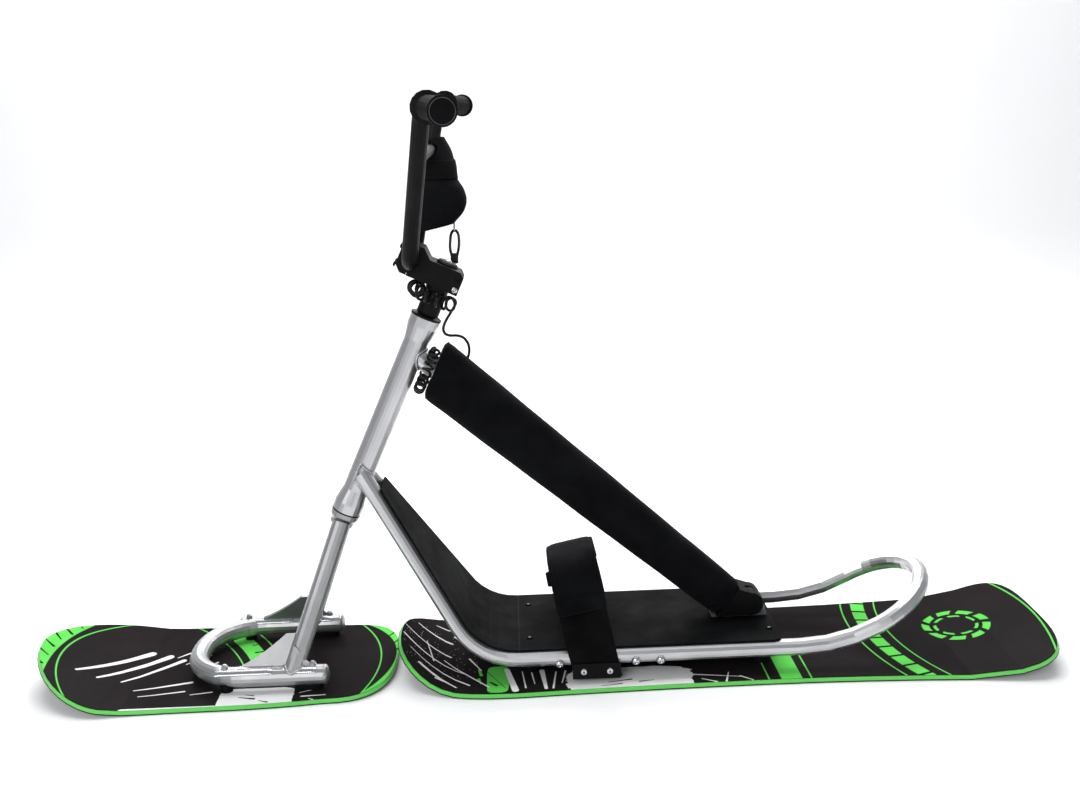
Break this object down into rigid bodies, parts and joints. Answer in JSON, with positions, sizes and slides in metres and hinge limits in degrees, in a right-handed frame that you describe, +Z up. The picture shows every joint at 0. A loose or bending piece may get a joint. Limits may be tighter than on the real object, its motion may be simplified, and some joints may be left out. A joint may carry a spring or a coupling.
{
  "type": "snow scooter",
  "caption": "Snow scooter: a steered front board on a fork and a long rear board under a bent tube frame with a padded strut, deck, foot strap and raised handlebar.",
  "frame": {"origin": "middle of the bounding box at the height of the boards' undersides", "axes": "+X to the rear board's tail, +Y to the rider's right, +Z up"},
  "size_m": [1.6117, 0.7366, 0.8986],
  "materials": {
    "satin_aluminium": "bead-blasted, satin",
    "bright_steel": "plated, bright",
    "black_metal": "black, satin",
    "black_rubber": "matt",
    "black_plastic": "fine grain",
    "black_fabric": "woven nylon over foam",
    "board_top": "near-black print under a clear sheet",
    "board_core": "green sidewall",
    "board_base": "black running base"
  },
  "bodies": {
    "frame": {"head_tube": "satin_aluminium", "side_rail_loop": "satin_aluminium", "cross_member_front": "satin_aluminium", "cross_member_rear": "satin_aluminium", "strut_tube": "satin_aluminium", "strut_bracket": "satin_aluminium", "upper_bearing": "bright_steel", "strap_bolt_front_left": "bright_steel", "strap_bolt_rear_left": "bright_steel", "strap_bolt_front_right": "bright_steel", "strap_bolt_rear_right": "bright_steel", "lower_bearing": "black_metal", "strut_bolt": "black_metal", "deck_damper_front_left": "black_rubber", "deck_damper_front_right": "black_rubber", "deck_damper_rear_left": "black_rubber", "deck_damper_rear_right": "black_rubber", "deck_panel": "black_plastic", "leg_guard": "black_plastic", "strut_shoe": "black_plastic", "strap_plate_left": "black_plastic", "strap_plate_right": "black_plastic", "leash_cord_lower": "black_plastic", "strut_sleeve": "black_fabric", "foot_strap_left": "black_fabric", "foot_strap_right": "black_fabric", "foot_strap_pad": "black_fabric", "rear_board_top_sheet": "board_top", "rear_board_core": "board_core", "rear_board_base": "board_base"},
    "steering": {"fork_crown": "satin_aluminium", "fork_leg_left": "satin_aluminium", "fork_leg_right": "satin_aluminium", "foot_loop": "satin_aluminium", "fork_gusset_left": "satin_aluminium", "fork_gusset_right": "satin_aluminium", "front_damper_left": "black_rubber", "front_damper_right": "black_rubber", "rear_damper_left": "black_rubber", "rear_damper_right": "black_rubber", "foot_bolt_front_left": "bright_steel", "foot_bolt_front_right": "bright_steel", "foot_bolt_rear_left": "bright_steel", "foot_bolt_rear_right": "bright_steel", "front_board_base": "board_base", "front_board_core": "board_core", "front_board_top_sheet": "board_top", "headset_cover": "black_metal", "spacer_stack": "black_metal", "stem_body": "black_metal", "stem_face_plate": "black_metal", "stem_top_cap": "black_metal", "handlebar": "black_metal", "grip_left": "black_rubber", "grip_right": "black_rubber", "bar_plug_left": "black_plastic", "bar_plug_right": "black_plastic", "leash_cuff": "black_fabric", "leash_ring": "bright_steel", "leash_cord_upper": "black_plastic"}
  },
  "joints": [
    {"name": "steering", "type": "hinge", "parent": "frame", "child": "steering", "pos_m": [-0.302, 0, 0.264], "axis": [0.4226, 0, 0.9063], "range_deg": [-35, 35]}
  ]
}
